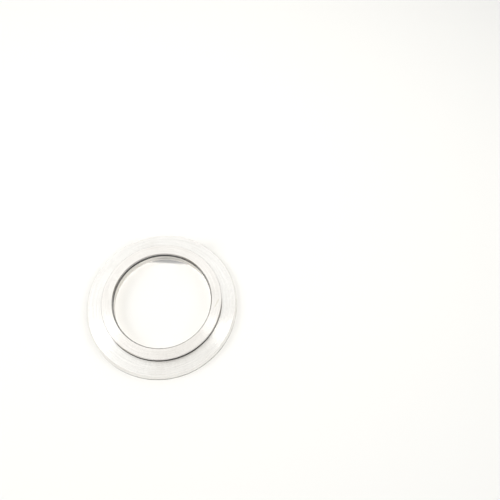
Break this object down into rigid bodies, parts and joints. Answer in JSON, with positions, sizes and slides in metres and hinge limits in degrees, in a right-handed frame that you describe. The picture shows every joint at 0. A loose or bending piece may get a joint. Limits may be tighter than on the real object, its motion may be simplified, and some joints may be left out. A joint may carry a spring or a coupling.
{
  "type": "magnetic shaft face seal",
  "caption": "Magnetic face seal for a rotating shaft: a flat turned housing ring carries magnets and a lapped seat, and a rotor ring with a black carbon face runs on it.",
  "frame": {"origin": "centre of the housing ring's back face, on the shaft's axis", "axes": "+Z along the shaft's axis, from the housing ring towards the rotor"},
  "size_m": [0.1402, 0.1402, 0.0165],
  "materials": {
    "housing_steel": "fine turned, with concentric tool marks",
    "case_steel": "fine turned, smoother than the housing",
    "carrier_steel": "turned",
    "seat_steel": "lapped",
    "pin_steel": "ground",
    "keeper_iron": "plain soft iron",
    "magnet_alloy": "ground magnet alloy",
    "carbon": "resin-filled carbon graphite, satin black",
    "seal_rubber": "matt black moulded elastomer"
  },
  "bodies": {
    "housing": {"housing_ring": "housing_steel", "housing_o_ring": "seal_rubber", "anti_rotation_pin_01": "pin_steel", "anti_rotation_pin_02": "pin_steel", "anti_rotation_pin_03": "pin_steel"},
    "magnet_unit": {"magnet_carrier": "carrier_steel", "keeper_ring": "keeper_iron", "magnet_rod_01": "magnet_alloy", "magnet_rod_02": "magnet_alloy", "magnet_rod_03": "magnet_alloy", "magnet_rod_04": "magnet_alloy", "magnet_rod_05": "magnet_alloy", "magnet_rod_06": "magnet_alloy", "magnet_rod_07": "magnet_alloy", "magnet_rod_08": "magnet_alloy", "magnet_rod_09": "magnet_alloy", "magnet_rod_10": "magnet_alloy", "magnet_rod_11": "magnet_alloy", "magnet_rod_12": "magnet_alloy", "magnet_rod_13": "magnet_alloy", "magnet_rod_14": "magnet_alloy", "magnet_rod_15": "magnet_alloy", "magnet_rod_16": "magnet_alloy", "magnet_rod_17": "magnet_alloy", "magnet_rod_18": "magnet_alloy", "magnet_rod_19": "magnet_alloy", "magnet_rod_20": "magnet_alloy", "magnet_rod_21": "magnet_alloy", "magnet_rod_22": "magnet_alloy", "magnet_rod_23": "magnet_alloy", "magnet_rod_24": "magnet_alloy", "seat_ring": "seat_steel", "magnet_o_ring": "seal_rubber"},
    "shaft_seal": {"shaft_o_ring": "seal_rubber"},
    "rotor": {"rotor_case": "case_steel", "carbon_ring": "carbon", "carbon_o_ring": "seal_rubber", "drive_pin_01": "pin_steel", "drive_pin_02": "pin_steel", "drive_pin_03": "pin_steel"}
  },
  "joints": [
    {"name": "magnet_unit_slide", "type": "slide", "parent": "housing", "child": "magnet_unit", "axis": [0, 0, 1], "range_m": [0, 0.0073]},
    {"name": "rotor_spin", "type": "hinge", "parent": "magnet_unit", "child": "shaft_seal", "pos_m": [0, 0, 0.0095], "axis": [0, 0, 1], "continuous": true},
    {"name": "rotor_float", "type": "slide", "parent": "shaft_seal", "child": "rotor", "axis": [0, 0, 1], "range_m": [0, 0.0009]}
  ]
}
